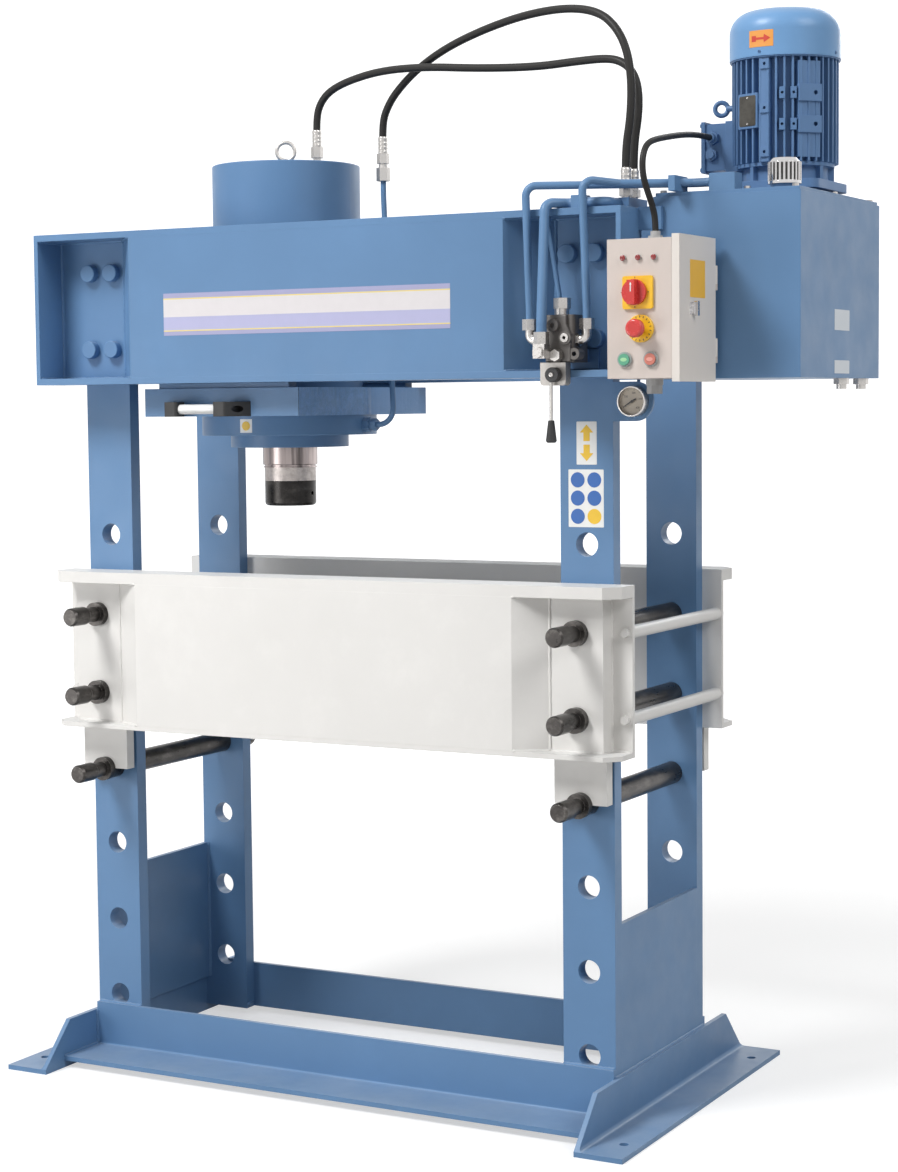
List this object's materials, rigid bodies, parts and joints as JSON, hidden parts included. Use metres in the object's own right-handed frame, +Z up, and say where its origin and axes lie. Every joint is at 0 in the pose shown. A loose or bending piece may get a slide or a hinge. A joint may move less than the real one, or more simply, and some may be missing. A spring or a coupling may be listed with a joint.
{
  "type": "hydraulic press",
  "caption": "Motorised hydraulic press with four columns, a pinned height-adjustable table and a cylinder that shifts sideways under the head.",
  "frame": {"origin": "on the floor, at the middle of the pattern of four anchor holes", "axes": "+X along the press towards the tank and motor, +Y to the rear, +Z up; the operator stands on the -Y side"},
  "size_m": [2.0525, 1.046, 2.6076],
  "materials": {
    "blue_paint": "satin",
    "motor_paint": "satin",
    "white_paint": "satin",
    "grey_paint": "satin",
    "bare_steel": "brushed",
    "black_steel": "satin",
    "ram_chrome": "polished",
    "zinc": "satin",
    "cast_valve": "rough",
    "hose_rubber": "matte",
    "cable_rubber": "matte",
    "black_plastic": "matte",
    "white_plastic": "gloss",
    "grey_plastic": "matte",
    "yellow_plastic": "gloss",
    "red_plastic": "gloss",
    "green_plastic": "gloss"
  },
  "bodies": {
    "frame": {"feet": "blue_paint", "base_rails": "blue_paint", "columns": "blue_paint", "side_plates": "blue_paint", "head_beam_front": "blue_paint", "head_beam_rear": "blue_paint", "head_bolts": "blue_paint", "carriage_tracks": "bare_steel", "table_beam_front": "white_paint", "table_beam_rear": "white_paint", "pin_blocks": "white_paint", "tie_rods": "white_paint", "hose_a": "hose_rubber", "hose_b": "hose_rubber", "tank": "blue_paint", "tank_lid": "blue_paint", "tank_fittings": "zinc", "brackets": "blue_paint", "motor_housing": "motor_paint", "fan_cowl": "motor_paint", "terminal_box": "motor_paint", "motor_cable": "cable_rubber", "cable_glands": "grey_plastic", "valve_body": "cast_valve", "pipe_fittings": "zinc", "steel_pipes": "blue_paint", "manifold_blocks": "blue_paint", "gauge_case": "zinc", "control_box": "grey_paint", "box_internals": "grey_plastic", "switch_plates": "yellow_plastic", "panel_lights": "zinc"},
    "carriage": {"carriage_plate": "blue_paint", "carriage_guides": "blue_paint", "barrel": "blue_paint", "cylinder_head": "blue_paint", "handle_brackets": "black_plastic", "handle_tube": "white_plastic", "cylinder_fittings": "zinc", "riser_pipe": "blue_paint"},
    "ram_body": {"ram": "ram_chrome", "ram_cap": "black_steel"},
    "lever": {"valve_lever": "zinc", "lever_knob": "black_plastic"},
    "switch": {"switch_knob": "red_plastic"},
    "stop": {"stop_mushroom": "red_plastic"},
    "start": {"start_button": "green_plastic"},
    "off": {"off_button": "red_plastic"},
    "door": {"box_door": "grey_paint"},
    "lock": {"door_lock": "zinc"},
    "needle": {"gauge_needle": "black_plastic"},
    "motor_fan": {"fan": "black_plastic"},
    "filler": {"filler_cap": "ram_chrome"},
    "low_left_pin": {"pin_low_left": "black_steel"},
    "middle_left_pin": {"pin_middle_left": "black_steel"},
    "high_left_pin": {"pin_high_left": "black_steel"},
    "low_right_pin": {"pin_low_right": "black_steel"},
    "middle_right_pin": {"pin_middle_right": "black_steel"},
    "high_right_pin": {"pin_high_right": "black_steel"}
  },
  "joints": [
    {"name": "carriage_slide", "type": "slide", "parent": "frame", "child": "carriage", "axis": [1, 0, 0], "range_m": [-0.075, 0.6], "deforming": ["hose_a", "hose_b"]},
    {"name": "ram_stroke", "type": "slide", "parent": "carriage", "child": "ram_body", "axis": [0, 0, -1], "range_m": [0, 0.4]},
    {"name": "lever_turn", "type": "hinge", "parent": "frame", "child": "lever", "pos_m": [0.664, -0.42, 1.754], "axis": [0, 1, 0], "range_deg": [-20, 20], "stiffness_Nm_per_rad": 1.5},
    {"name": "switch_turn", "type": "hinge", "parent": "frame", "child": "switch", "pos_m": [0.902, -0.508, 1.927], "axis": [0, 1, 0], "range_deg": [0, 90]},
    {"name": "stop_press", "type": "slide", "parent": "frame", "child": "stop", "axis": [0, 1, 0], "range_m": [0, 0.006]},
    {"name": "start_press", "type": "slide", "parent": "frame", "child": "start", "axis": [0, 1, 0], "range_m": [0, 0.0035], "stiffness_N_per_m": 600},
    {"name": "off_press", "type": "slide", "parent": "frame", "child": "off", "axis": [0, 1, 0], "range_m": [0, 0.0035], "stiffness_N_per_m": 600},
    {"name": "door_swing", "type": "hinge", "parent": "frame", "child": "door", "pos_m": [1, -0.2905, 1.892], "axis": [0, 0, 1], "range_deg": [0, 90]},
    {"name": "lock_turn", "type": "hinge", "parent": "door", "child": "lock", "pos_m": [1.003, -0.425, 1.892], "axis": [1, 0, 0], "range_deg": [0, 90]},
    {"name": "needle_turn", "type": "hinge", "parent": "frame", "child": "needle", "pos_m": [0.795, -0.284, 1.693], "axis": [0, 1, 0], "range_deg": [0, 260]},
    {"name": "fan_spin", "type": "hinge", "parent": "frame", "child": "motor_fan", "pos_m": [1.056, 0, 2.5], "axis": [0, 0, 1], "continuous": true},
    {"name": "filler_turn", "type": "hinge", "parent": "frame", "child": "filler", "pos_m": [1.131, -0.207, 2.2], "axis": [0, 0, 1], "range_deg": [0, 90]},
    {"name": "low_left_pin_pull", "type": "slide", "parent": "frame", "child": "low_left_pin", "axis": [0, -1, 0], "range_m": [0, 0.56]},
    {"name": "middle_left_pin_pull", "type": "slide", "parent": "frame", "child": "middle_left_pin", "axis": [0, -1, 0], "range_m": [0, 0.56]},
    {"name": "high_left_pin_pull", "type": "slide", "parent": "frame", "child": "high_left_pin", "axis": [0, -1, 0], "range_m": [0, 0.56]},
    {"name": "low_right_pin_pull", "type": "slide", "parent": "frame", "child": "low_right_pin", "axis": [0, -1, 0], "range_m": [0, 0.56]},
    {"name": "middle_right_pin_pull", "type": "slide", "parent": "frame", "child": "middle_right_pin", "axis": [0, -1, 0], "range_m": [0, 0.56]},
    {"name": "high_right_pin_pull", "type": "slide", "parent": "frame", "child": "high_right_pin", "axis": [0, -1, 0], "range_m": [0, 0.56]}
  ]
}
